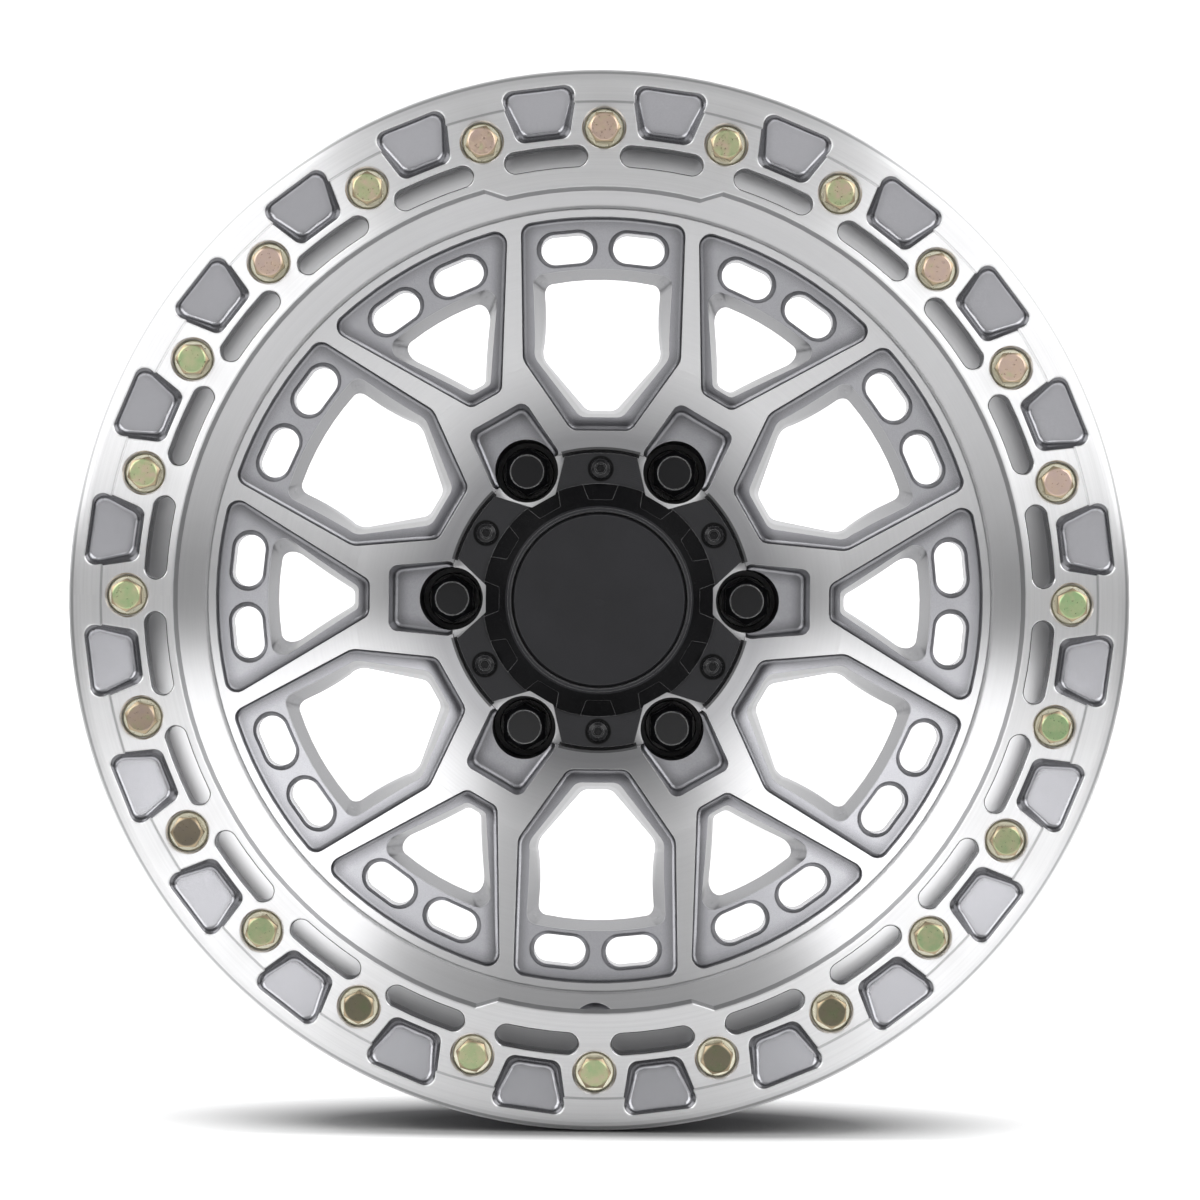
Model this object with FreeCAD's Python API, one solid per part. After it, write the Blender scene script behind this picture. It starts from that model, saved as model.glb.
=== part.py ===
import FreeCAD, Part
import math
import os

os.makedirs("parts", exist_ok=True)

# A six-stud road wheel with a bolted bead clamp ring, in millimetres.
# The wheel spins about Y; its outer face looks towards -Y and its hub face lies at y = 0.

# Sizes of the rim
BEAD_SEAT_RADIUS = 218.3
RIM_WIDTH = 228.6
OFFSET = -12.0
WALL = 7.5
WELL_RADIUS = 196.0
WELL_START = -62.0
WELL_END = 12.0
WELL_RISE = 36.0
WEB_THICK = 17.5
FLANGE_HEIGHT = 17.3
CLAMP_GAP = 16.0
CLAMP_FLANGE_RADIUS = 229.0
CLAMP_FLANGE_THICK = 7.0
SEAT_INNER_RADIUS = 206.0

# Sizes of the hub
BORE_RADIUS = 53.05
BORE_DEPTH = 26.0
PAD_RADIUS = 86.0
STUD_CIRCLE = 139.7
STUD_COUNT = 6
STUD_HOLE_RADIUS = 7.6
NUT_SEAT_RADIUS = 12.5
NUT_SEAT_DEPTH = 19.0
NUT_POCKET_RADIUS = 14.9
RECESS_RADIUS = 70.8
RECESS_FLOOR = -60.0

# Turned front of the spokes, as radius and place along the axis
HUB_FACE = -68.0
CREASE_RADIUS = 114.0
CREASE_FACE = -80.0
OUTER_FACE_RADIUS = 179.4
OUTER_FACE = -105.0
LIP_RADIUS = 181.2
LIP_GROOVE = 0.9

# Floor of the painted recesses, a single cone behind the turned front
FLOOR_INNER_RADIUS = 70.0
FLOOR_INNER = -58.0
FLOOR_OUTER = -95.5
FLOOR_FILLET = 2.0
SHELF_SLOPE = math.atan2(FLOOR_INNER - FLOOR_OUTER, OUTER_FACE_RADIUS - FLOOR_INNER_RADIUS)

# Large windows and triangular windows: half outlines as (across, outward)
WINDOW_REACH = 176.2
WINDOW_RECESS = [(14.1, 79.4), (36.9, 111.5), (37.9, 172.6)]
WINDOW_FRONT = [(11.2, 83.6), (33.0, 113.2), (34.0, 150.0)]
WINDOW_BACK = [(9.8, 86.2), (31.1, 114.7), (30.2, 143.7)]
TRIANGLE_RECESS = [(8.2, 107.2), (44.6, 165.4)]
TRIANGLE_FRONT = [(5.6, 111.4), (31.0, 151.0)]
TRIANGLE_BACK = [(4.6, 114.0), (25.0, 148.0)]
WEB_REACH_FRONT = 153.4
WEB_REACH_BACK = 150.0
WEB_FRONT = -84.0
WEB_BACK = -62.0
CORNER = 5.5
POINT_CORNER = 4.5

# Oblong slots through the web between spokes and rim
WEB_SLOT_RADIUS = 163.3
WEB_SLOT_ANGLE = 5.85
WEB_SLOT_LENGTH = 24.0
WEB_SLOT_WIDTH = 13.4
WEB_SLOT_BEVEL = 2.0

# Keystone pockets round the wheel nuts
KEYSTONE = [(19.1, 66.0), (15.2, 98.5)]
KEYSTONE_FLOOR = -61.0
KEYSTONE_CORNER = 4.5
KEYSTONE_DRAFT = 1.8

# Reliefs in the back of the hub
RELIEF_INNER = 61.0
RELIEF_OUTER = 80.0
RELIEF_HALF = 13.0
RELIEF_DEPTH = 14.0

# Valve hole at the foot of the wheel
VALVE_RADIUS = 5.75
VALVE_FACE_RADIUS = 9.0
VALVE_FACE_DEPTH = 2.5
VALVE_PLACE = 191.0

# Bead clamp ring
RING_OUTER = 239.0
RING_INNER = 191.0
RING_THICK = 14.7
RING_EDGE_START = 233.0
RING_EDGE_DROP = 8.0
RING_STEP_RADIUS = 224.0
RING_STEP = 0.7
RING_BACK_RIM = 5.0
TAB_INNER = 185.4
TAB_HALF = 13.6
TAB_FOOT_HALF = 16.3
RING_BEVEL = 0.7
POCKET_BEVEL = 1.3
RING_PITCH = 15.0
POCKET = [(10.9, 208.3), (17.4, 231.2)]
POCKET_INNER_DEPTH = 9.5
POCKET_OUTER_DEPTH = 3.4
POCKET_CORNER = 4.6
POCKET_DRAFT = 2.0
POCKET_FILLET = 1.6
SLOT_INNER = 194.8
SLOT_OUTER = 204.3
SLOT_HALF_ANGLE = 5.35

# Ring bolts
BOLT_CIRCLE_RADIUS = 212.0
BOLT_RADIUS = 4.0
BOLT_HOLE_RADIUS = 4.4
BOLT_FLANGE_RADIUS = 8.95
BOLT_FLANGE_THICK = 2.2
BOLT_FLANGE_BEVEL = 0.7
BOLT_HEX = 13.0
BOLT_HEAD = 8.2
BOLT_TOP_RADIUS = 5.7
BOLT_CROWN_SLOPE = 30.0
COUNTERBORE_RADIUS = 9.4
COUNTERBORE_DEPTH = 5.0
COUNTERBORE_BEVEL = 0.6
BOLT_REACH = 17.0
TAPPED_DEPTH = 19.0

# Centre cap
CAP_RADIUS = 69.8
CAP_PLATE = 6.0
CAP_SPIGOT_RADIUS = 50.0
CAP_BORE_RADIUS = 50.4
CAP_SPIGOT = 20.0
CAP_WALL = 3.0
BEZEL_RADIUS = 54.7
BEZEL_STEP = 1.6
BEZEL_TOP_RADIUS = 43.6
BEZEL_TOP = -76.0
DISC_SEAT_RADIUS = 41.2
DISC_RADIUS = 40.5
DISC_THICK = 3.0
DISC_DROP = 1.0
DISC_DOME = 0.8
CAP_NOTCH = [(6.3, 53.4), (18.9, 66.8), (24.6, 73.0)]
BEZEL_NOTCH = [(5.6, 47.0), (8.7, 55.0)]
BEZEL_NOTCH_DEPTH = 1.3
BEZEL_NOTCH_COUNT = 12
SCREW_CIRCLE_RADIUS = 61.8
SCREW_RADIUS = 3.0
SCREW_HEAD_RADIUS = 5.15
SCREW_HEAD = 3.2
SCREW_SOCKET = 4.0
SCREW_SOCKET_DEPTH = 2.0
SCREW_REACH = 12.0
SCREW_HOLE_DEPTH = 14.0

# Wheel nuts
NUT_HEX = 20.0
NUT_HEIGHT = 34.0
NUT_CAP_RADIUS = 8.5
NUT_CAP_BEVEL = 0.6
NUT_THREAD_RADIUS = 6.3
NUT_THREAD_DEPTH = 27.0

# Places worked out from the sizes above
STUD_CIRCLE_RADIUS = STUD_CIRCLE / 2
MIDDLE = OFFSET
INNER_FLANGE = MIDDLE + RIM_WIDTH / 2
RING_SEAT = MIDDLE - RIM_WIDTH / 2
RING_FRONT = RING_SEAT - RING_THICK
CLAMP_FACE = RING_SEAT + CLAMP_GAP
SECTOR = 360.0 / STUD_COUNT
FAR = 400.0
SEAM_TURN = 8.0


def at(x, y, z):
    return FreeCAD.Vector(x, y, z)


AXIS_POINT = at(0, 0, 0)
SPIN = at(0, 1, 0)


def turned(shape, angle):
    # A copy turned about the spin axis
    copy = shape.copy()
    copy.rotate(AXIS_POINT, SPIN, angle)
    return copy


def around(shape, count, start=0.0):
    # Copies spread evenly about the spin axis
    return [turned(shape, start + 360.0 * k / count) for k in range(count)]


def revolved(points):
    # A solid of revolution from a closed outline of (radius, y)
    corners = [at(r, y, 0) for r, y in points]
    face = Part.Face(Part.makePolygon(corners + [corners[0]]))
    return turned(face.revolve(AXIS_POINT, SPIN, 360), SEAM_TURN)


def rod(radius, x, z, y_from, y_to):
    # A cylinder along the spin direction, its seam turned off the planes of symmetry
    made = Part.makeCylinder(radius, y_to - y_from, at(x, y_from, z), SPIN)
    made.rotate(at(x, y_from, z), SPIN, SEAM_TURN)
    return made


def hexagon(flats, x, z, y_from, y_to):
    # A hexagonal bar along the spin direction
    reach = flats / math.sqrt(3)
    ring = []
    for k in range(7):
        turn = math.radians(60 * k)
        ring.append(at(x + reach * math.cos(turn), y_from, z + reach * math.sin(turn)))
    return Part.Face(Part.makePolygon(ring)).extrude(at(0, y_to - y_from, 0))


def unit(x, z):
    length = math.hypot(x, z)
    return x / length, z / length


def corner_arc(before, corner, after, radius):
    # Start, middle and end of the arc that rounds a corner
    ax, az = unit(before[0] - corner[0], before[1] - corner[1])
    bx, bz = unit(after[0] - corner[0], after[1] - corner[1])
    half = math.acos(max(-1.0, min(1.0, ax * bx + az * bz))) / 2
    run = radius / math.tan(half)
    mx, mz = unit(ax + bx, az + bz)
    reach = radius / math.sin(half) - radius
    start = (corner[0] + ax * run, corner[1] + az * run)
    middle = (corner[0] + mx * reach, corner[1] + mz * reach)
    end = (corner[0] + bx * run, corner[1] + bz * run)
    return start, middle, end


def top_arc(foot, corner, reach, radius):
    # The arc that rounds a straight side into an outer edge concentric with the wheel
    dx, dz = unit(corner[0] - foot[0], corner[1] - foot[1])
    nx, nz = -dz, dx
    px = foot[0] + nx * radius
    pz = foot[1] + nz * radius
    along = px * dx + pz * dz
    run = math.sqrt(along ** 2 - px ** 2 - pz ** 2 + (reach - radius) ** 2) - along
    cx = px + dx * run
    cz = pz + dz * run
    start = (cx - nx * radius, cz - nz * radius)
    end = (cx * reach / (reach - radius), cz * reach / (reach - radius))
    mx, mz = unit(start[0] + end[0] - 2 * cx, start[1] + end[1] - 2 * cz)
    return start, (cx + mx * radius, cz + mz * radius), end


def half_arcs(half, reach, radii):
    # Arcs of the right-hand corners of a symmetrical outline, from the inner end outwards
    arcs = []
    last = len(half) - 1
    for k, corner in enumerate(half):
        before = (0.0, half[0][1]) if k == 0 else half[k - 1]
        if k < last:
            arcs.append(corner_arc(before, corner, half[k + 1], radii[k]))
        elif reach:
            arcs.append(top_arc(before, corner, reach, radii[k]))
        else:
            arcs.append(corner_arc(before, corner, (0.0, corner[1]), radii[k]))
    return arcs


def outline(half, reach, radii, y):
    # A closed wire, symmetrical about Z, with rounded corners and an optional concentric outer edge
    right = half_arcs(half, reach, radii)
    left = [tuple((-x, z) for x, z in reversed(arc)) for arc in reversed(right)]
    edges = []
    arcs = right + left
    for k, (start, middle, end) in enumerate(arcs):
        following = arcs[(k + 1) % len(arcs)][0]
        edges.append(Part.Arc(*[at(x, y, z) for x, z in (start, middle, end)]).toShape())
        if reach and k == len(right) - 1:
            edges.append(Part.Arc(at(end[0], y, end[1]), at(0, y, reach),
                                  at(following[0], y, following[1])).toShape())
        else:
            edges.append(Part.makeLine(at(end[0], y, end[1]), at(following[0], y, following[1])))
    return Part.Wire(edges)


def prism(half, reach, radii, y_from, y_to):
    face = Part.Face(outline(half, reach, radii, y_from))
    return face.extrude(at(0, y_to - y_from, 0))


def blend(a, b, share):
    return a + (b - a) * share


def tapered(half_a, reach_a, y_a, half_b, reach_b, y_b, radii, y_from, y_to):
    # A straight-walled solid through two outlines, carried on to other depths
    wires = []
    for y in (y_from, y_to):
        share = (y - y_a) / (y_b - y_a)
        half = [(blend(p[0], q[0], share), blend(p[1], q[1], share)) for p, q in zip(half_a, half_b)]
        reach = blend(reach_a, reach_b, share) if reach_a else 0
        wires.append(outline(half, reach, radii, y))
    return Part.makeLoft(wires, True, True)


def inset(half, amount):
    # A smaller copy of a straight-sided half outline
    inner = half[0][1] + amount
    outer = half[-1][1] - amount
    (x0, z0), (x1, z1) = half[0], half[-1]
    slope = (x1 - x0) / (z1 - z0)
    side = amount * math.hypot(1, slope)
    return [(x0 + slope * (inner - z0) - side, inner), (x0 + slope * (outer - z0) - side, outer)]


def floor_y(radius):
    return FLOOR_INNER - (radius - FLOOR_INNER_RADIUS) * math.tan(SHELF_SLOPE)


def edges_on(shape, height):
    # Edges lying wholly on the surface y = height(radius)
    found = []
    for edge in shape.Edges:
        middle = edge.valueAt((edge.FirstParameter + edge.LastParameter) / 2)
        points = [v.Point for v in edge.Vertexes] + [middle]
        if all(abs(p.y - height(math.hypot(p.x, p.z))) < 0.01 for p in points):
            found.append(edge)
    return found


def softened(shape, height, radius):
    return shape.makeFillet(radius, edges_on(shape, height))


# Wheel casting
lip_slope = (RING_SEAT - OUTER_FACE) / (SEAT_INNER_RADIUS - LIP_RADIUS)
lip_foot = OUTER_FACE + LIP_GROOVE
barrel_inner = WELL_RADIUS - WALL
seat_inner = BEAD_SEAT_RADIUS - WALL - 1.3
web_back = FLOOR_OUTER + WEB_THICK
flange_top = BEAD_SEAT_RADIUS + FLANGE_HEIGHT
seat_register = BEAD_SEAT_RADIUS - 0.5
section = [
    (BORE_RADIUS, 0),
    (PAD_RADIUS, 0),
    (PAD_RADIUS + 2, -2),
    (PAD_RADIUS + 5, -14),
    (barrel_inner - 23.5, web_back),
    (barrel_inner - 10.5, web_back - 2),
    (barrel_inner - 2.5, web_back + 4),
    (barrel_inner, web_back + 12),
    (barrel_inner, WELL_END - 6),
    (seat_inner, WELL_END + WELL_RISE - 6),
    (seat_inner, INNER_FLANGE - 12.3),
    (seat_inner + 4, INNER_FLANGE),
    (seat_inner + 12.5, INNER_FLANGE + 8),
    (flange_top - 3, INNER_FLANGE + 11.7),
    (flange_top, INNER_FLANGE + 10),
    (flange_top, INNER_FLANGE + 7),
    (flange_top - 8, INNER_FLANGE + 1.5),
    (BEAD_SEAT_RADIUS + 2, INNER_FLANGE - 1.5),
    (BEAD_SEAT_RADIUS, INNER_FLANGE - 6),
    (BEAD_SEAT_RADIUS - 1.8, INNER_FLANGE - 22),
    (BEAD_SEAT_RADIUS - 0.3, INNER_FLANGE - 26),
    (BEAD_SEAT_RADIUS - 1.8, INNER_FLANGE - 31),
    (BEAD_SEAT_RADIUS - 1.8, WELL_END + WELL_RISE),
    (WELL_RADIUS, WELL_END),
    (WELL_RADIUS, WELL_START),
    (WELL_RADIUS + 10, WELL_START - 22),
    (CLAMP_FLANGE_RADIUS - 3, CLAMP_FACE + CLAMP_FLANGE_THICK + 2),
    (CLAMP_FLANGE_RADIUS, CLAMP_FACE + CLAMP_FLANGE_THICK),
    (CLAMP_FLANGE_RADIUS, CLAMP_FACE + 2),
    (CLAMP_FLANGE_RADIUS - 2, CLAMP_FACE),
    (seat_register, CLAMP_FACE),
    (seat_register, RING_SEAT),
    (SEAT_INNER_RADIUS, RING_SEAT),
    (LIP_RADIUS, lip_foot),
    (OUTER_FACE_RADIUS + 0.8, lip_foot),
    (OUTER_FACE_RADIUS, OUTER_FACE),
    (CREASE_RADIUS, CREASE_FACE),
    (RECESS_RADIUS, HUB_FACE),
    (RECESS_RADIUS, RECESS_FLOOR),
    (CAP_BORE_RADIUS, RECESS_FLOOR),
    (CAP_BORE_RADIUS, -BORE_DEPTH - 2),
    (BORE_RADIUS, -BORE_DEPTH),
]
casting = revolved(section)

# Space in front of the recess floor
inside = FLOOR_INNER_RADIUS - 30
outside = LIP_RADIUS + 20
above_floor = revolved([
    (inside, -FAR),
    (outside, -FAR),
    (outside, floor_y(outside)),
    (inside, floor_y(inside)),
])
corners = [CORNER, 8.0, CORNER]
points = [POINT_CORNER, CORNER]
window_recess = softened(prism(WINDOW_RECESS, WINDOW_REACH, corners, -150, -20).common(above_floor),
                         floor_y, FLOOR_FILLET)
triangle_recess = softened(prism(TRIANGLE_RECESS, WINDOW_REACH, points, -150, -20).common(above_floor),
                           floor_y, FLOOR_FILLET)
window_through = tapered(WINDOW_FRONT, WEB_REACH_FRONT, WEB_FRONT, WINDOW_BACK, WEB_REACH_BACK, WEB_BACK,
                         [CORNER, 9.0, CORNER], -110, -8)
triangle_through = tapered(TRIANGLE_FRONT, WEB_REACH_FRONT, WEB_FRONT, TRIANGLE_BACK, WEB_REACH_BACK,
                           WEB_BACK, [3.2, CORNER], -110, -32)


def oblong(grow, y):
    # A round-ended outline across the Z axis at the slot radius
    end = (WEB_SLOT_WIDTH / 2) + grow
    run = (WEB_SLOT_LENGTH - WEB_SLOT_WIDTH) / 2
    low = WEB_SLOT_RADIUS - end
    high = WEB_SLOT_RADIUS + end
    middle = WEB_SLOT_RADIUS
    return Part.Wire([
        Part.makeLine(at(-run, y, low), at(run, y, low)),
        Part.Arc(at(run, y, low), at(run + end, y, middle), at(run, y, high)).toShape(),
        Part.makeLine(at(run, y, high), at(-run, y, high)),
        Part.Arc(at(-run, y, high), at(-run - end, y, middle), at(-run, y, low)).toShape(),
    ])


slot_floor = floor_y(WEB_SLOT_RADIUS)
slot_hole = Part.Face(oblong(0, -120)).extrude(at(0, 70, 0))
slot_bevel = Part.makeLoft([oblong(2 * WEB_SLOT_BEVEL, slot_floor - WEB_SLOT_BEVEL),
                            oblong(0, slot_floor + WEB_SLOT_BEVEL)], True, True)
slot_bevel.rotate(at(0, slot_floor, WEB_SLOT_RADIUS), at(1, 0, 0), math.degrees(SHELF_SLOPE))
slot_tools = [turned(tool, side * WEB_SLOT_ANGLE) for tool in (slot_hole, slot_bevel) for side in (-1, 1)]

keystone_reach = KEYSTONE_FLOOR - 40
keystone = tapered(KEYSTONE, 0, CREASE_FACE + 4, inset(KEYSTONE, KEYSTONE_DRAFT), 0, KEYSTONE_FLOOR,
                   [KEYSTONE_CORNER, KEYSTONE_CORNER], keystone_reach, KEYSTONE_FLOOR)
keystone = softened(keystone, lambda radius: KEYSTONE_FLOOR, FLOOR_FILLET)

nut_cone = (NUT_SEAT_RADIUS - STUD_HOLE_RADIUS) / math.tan(math.radians(30))
nut_seat_place = at(0, -NUT_SEAT_DEPTH, STUD_CIRCLE_RADIUS)
nut_seat_cone = Part.makeCone(NUT_SEAT_RADIUS, STUD_HOLE_RADIUS, nut_cone, nut_seat_place, SPIN)
nut_seat_cone.rotate(nut_seat_place, SPIN, SEAM_TURN)
nut_tools = [
    rod(NUT_POCKET_RADIUS, 0, STUD_CIRCLE_RADIUS, -FAR / 4, -NUT_SEAT_DEPTH),
    nut_seat_cone,
    rod(STUD_HOLE_RADIUS, 0, STUD_CIRCLE_RADIUS, -NUT_SEAT_DEPTH, 5),
]
screw_hole = rod(SCREW_RADIUS, 0, SCREW_CIRCLE_RADIUS, RECESS_FLOOR, RECESS_FLOOR + SCREW_HOLE_DEPTH)
relief_half = [(RELIEF_HALF * RELIEF_INNER / RELIEF_OUTER, RELIEF_INNER), (RELIEF_HALF, RELIEF_OUTER)]
relief = prism(relief_half, 0, [3.0, 3.0], -RELIEF_DEPTH, 5)
tapped_hole = rod(BOLT_RADIUS, 0, BOLT_CIRCLE_RADIUS, RING_SEAT - 1, RING_SEAT + TAPPED_DEPTH)

valve_face = OUTER_FACE + lip_slope * (VALVE_PLACE - LIP_RADIUS)
lip_angle = math.atan(-lip_slope)
valve_way = at(0, math.cos(lip_angle), -math.sin(lip_angle))
valve_start = at(0, valve_face, -VALVE_PLACE)
valve_hole = Part.makeCylinder(VALVE_RADIUS, 60, valve_start - valve_way * 10, valve_way)
valve_spot = Part.makeCylinder(VALVE_FACE_RADIUS, VALVE_FACE_DEPTH + 12,
                               valve_start - valve_way * 12, valve_way)

half_turn = SECTOR / 2
tools = [valve_hole, valve_spot]
tools += around(window_recess, STUD_COUNT)
tools += around(window_through, STUD_COUNT)
tools += around(triangle_recess, STUD_COUNT, half_turn)
tools += around(triangle_through, STUD_COUNT, half_turn)
for tool in slot_tools:
    tools += around(tool, 2 * STUD_COUNT)
tools += around(keystone, STUD_COUNT, half_turn)
for tool in nut_tools:
    tools += around(tool, STUD_COUNT, half_turn)
tools += around(screw_hole, STUD_COUNT)
tools += around(relief, STUD_COUNT)
ring_count = int(360 / RING_PITCH)
tools += around(tapped_hole, ring_count)
casting = casting.cut(tools)

# Bead clamp ring
ring_edge = RING_FRONT + RING_EDGE_DROP
ring_step_face = RING_FRONT + RING_STEP
edge_run = RING_OUTER - RING_EDGE_START
edge_arc = []
for k in range(1, 6):
    turn = math.radians(15 * k)
    edge_arc.append((RING_EDGE_START + edge_run * math.sin(turn),
                     ring_edge - (ring_edge - ring_step_face) * math.cos(turn)))
ring_blank = TAB_INNER - 35
ring = revolved([
    (ring_blank, RING_FRONT),
    (RING_STEP_RADIUS - RING_STEP, RING_FRONT),
    (RING_STEP_RADIUS, ring_step_face),
    (RING_EDGE_START, ring_step_face),
] + edge_arc + [
    (RING_OUTER, ring_edge),
    (RING_OUTER, RING_SEAT - 1.5),
    (RING_OUTER - 3, RING_SEAT + RING_BACK_RIM - 1.5),
    (RING_OUTER - 7, RING_SEAT + RING_BACK_RIM - 1.5),
    (RING_OUTER - 13, RING_SEAT),
    (ring_blank, RING_SEAT),
])


def polar(radius, angle, y):
    turn = math.radians(angle)
    return at(radius * math.sin(turn), y, radius * math.cos(turn))


def ring_opening(grow, y):
    # The inner edge of the ring, drawn in by a tab at the top and at the foot
    edges = []
    for middle in (0, 180):
        foot = polar(RING_INNER + grow, middle - TAB_FOOT_HALF, y)
        shoulder = polar(TAB_INNER + grow, middle - TAB_HALF, y)
        crown = polar(TAB_INNER + grow, middle, y)
        far_shoulder = polar(TAB_INNER + grow, middle + TAB_HALF, y)
        far_foot = polar(RING_INNER + grow, middle + TAB_FOOT_HALF, y)
        flank = polar(RING_INNER + grow, middle + 90, y)
        next_foot = polar(RING_INNER + grow, middle + 180 - TAB_FOOT_HALF, y)
        edges.append(Part.makeLine(foot, shoulder))
        edges.append(Part.Arc(shoulder, crown, far_shoulder).toShape())
        edges.append(Part.makeLine(far_shoulder, far_foot))
        edges.append(Part.Arc(far_foot, flank, next_foot).toShape())
    return Part.Wire(edges)


opening = Part.Face(ring_opening(0, RING_FRONT - 5)).extrude(at(0, RING_THICK + 20, 0))
opening_bevel = Part.makeLoft([ring_opening(RING_BEVEL + 1, RING_FRONT - 1),
                               ring_opening(-1, RING_FRONT + RING_BEVEL + 1)], True, True)


def pocket_floor(radius):
    # The painted floors lean towards the middle of the wheel
    share = (radius - POCKET[0][1]) / (POCKET[1][1] - POCKET[0][1])
    return RING_FRONT + blend(POCKET_INNER_DEPTH, POCKET_OUTER_DEPTH, share)


floor_start = RING_INNER - 1
floor_end = RING_OUTER + 11
before_floor = revolved([
    (floor_start, -FAR),
    (floor_end, -FAR),
    (floor_end, pocket_floor(floor_end)),
    (floor_start, pocket_floor(floor_start)),
])
pocket_depth = (POCKET_INNER_DEPTH + POCKET_OUTER_DEPTH) / 2
pocket = tapered(POCKET, 0, RING_FRONT, inset(POCKET, POCKET_DRAFT), 0, RING_FRONT + pocket_depth,
                 [POCKET_CORNER, POCKET_CORNER], RING_FRONT - 2, RING_SEAT - 1)
pocket = softened(pocket.common(before_floor), pocket_floor, POCKET_FILLET)
pocket_bevel = tapered(inset(POCKET, -POCKET_BEVEL), 0, RING_FRONT, POCKET, 0, RING_FRONT + POCKET_BEVEL,
                       [POCKET_CORNER, POCKET_CORNER], RING_FRONT - 1, RING_FRONT + POCKET_BEVEL + 0.6)


def arc_slot(inner, outer, half_angle, y):
    # A slot that follows the ring, with round ends inside the half angle
    middle = (inner + outer) / 2
    end = (outer - inner) / 2
    lean = half_angle - math.degrees(end / middle)
    return Part.Wire([
        Part.Arc(polar(inner, -lean, y), polar(inner, 0, y), polar(inner, lean, y)).toShape(),
        Part.Arc(polar(inner, lean, y), polar(middle, half_angle, y), polar(outer, lean, y)).toShape(),
        Part.Arc(polar(outer, lean, y), polar(outer, 0, y), polar(outer, -lean, y)).toShape(),
        Part.Arc(polar(outer, -lean, y), polar(middle, -half_angle, y), polar(inner, -lean, y)).toShape(),
    ])


ring_slot = Part.Face(arc_slot(SLOT_INNER, SLOT_OUTER, SLOT_HALF_ANGLE, RING_FRONT - 5))
ring_slot = ring_slot.extrude(at(0, RING_THICK + 20, 0))
slot_middle = (SLOT_INNER + SLOT_OUTER) / 2


def slot_rim(grow, y):
    # The slot's outline, grown evenly
    half_angle = SLOT_HALF_ANGLE + math.degrees(grow / slot_middle)
    return arc_slot(SLOT_INNER - grow, SLOT_OUTER + grow, half_angle, y)


slot_edge = Part.makeLoft([slot_rim(RING_BEVEL + 1, RING_FRONT - 1),
                           slot_rim(-0.5, RING_FRONT + RING_BEVEL + 0.5)], True, True)
bolt_seat = RING_FRONT + COUNTERBORE_DEPTH
counterbore = rod(COUNTERBORE_RADIUS, 0, BOLT_CIRCLE_RADIUS, RING_FRONT - 5, bolt_seat)
counterbore_rim = COUNTERBORE_RADIUS + COUNTERBORE_BEVEL
counterbore_edge = Part.makeCone(counterbore_rim + 1, COUNTERBORE_RADIUS - 0.5, COUNTERBORE_BEVEL + 1.5,
                                 at(0, RING_FRONT - 1, BOLT_CIRCLE_RADIUS), SPIN)
counterbore_edge.rotate(at(0, 0, BOLT_CIRCLE_RADIUS), SPIN, SEAM_TURN)
bolt_hole = rod(BOLT_HOLE_RADIUS, 0, BOLT_CIRCLE_RADIUS, RING_FRONT - 5, RING_SEAT + 5)
ring_tools = [opening, opening_bevel]
for tool in (pocket, pocket_bevel, ring_slot, slot_edge):
    ring_tools += around(tool, ring_count, RING_PITCH / 2)
for tool in (counterbore, counterbore_edge, bolt_hole):
    ring_tools += around(tool, ring_count)
ring = ring.cut(ring_tools)

# Ring bolts
head_top = bolt_seat - BOLT_HEAD
flange_top = bolt_seat - BOLT_FLANGE_THICK
hex_foot = bolt_seat - BOLT_FLANGE_THICK / 2
crown_run = BOLT_FLANGE_RADIUS - BOLT_TOP_RADIUS
crown = revolved([
    (0, head_top),
    (BOLT_TOP_RADIUS, head_top),
    (BOLT_FLANGE_RADIUS, head_top + crown_run * math.tan(math.radians(BOLT_CROWN_SLOPE))),
    (BOLT_FLANGE_RADIUS, hex_foot),
    (0, hex_foot),
])
crown.translate(at(0, 0, BOLT_CIRCLE_RADIUS))
bolt_head = hexagon(BOLT_HEX, 0, BOLT_CIRCLE_RADIUS, head_top, hex_foot).common(crown)
bolt_flange = revolved([
    (0, flange_top),
    (BOLT_FLANGE_RADIUS - BOLT_FLANGE_BEVEL, flange_top),
    (BOLT_FLANGE_RADIUS, flange_top + BOLT_FLANGE_BEVEL),
    (BOLT_FLANGE_RADIUS, bolt_seat),
    (BOLT_RADIUS, bolt_seat),
    (BOLT_RADIUS, RING_SEAT + BOLT_REACH - 1),
    (BOLT_RADIUS - 1, RING_SEAT + BOLT_REACH),
    (0, RING_SEAT + BOLT_REACH),
])
bolt_flange.translate(at(0, 0, BOLT_CIRCLE_RADIUS))
bolt = bolt_head.fuse(bolt_flange).removeSplitter()
ring_bolts = Part.makeCompound(around(bolt, ring_count))

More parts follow.
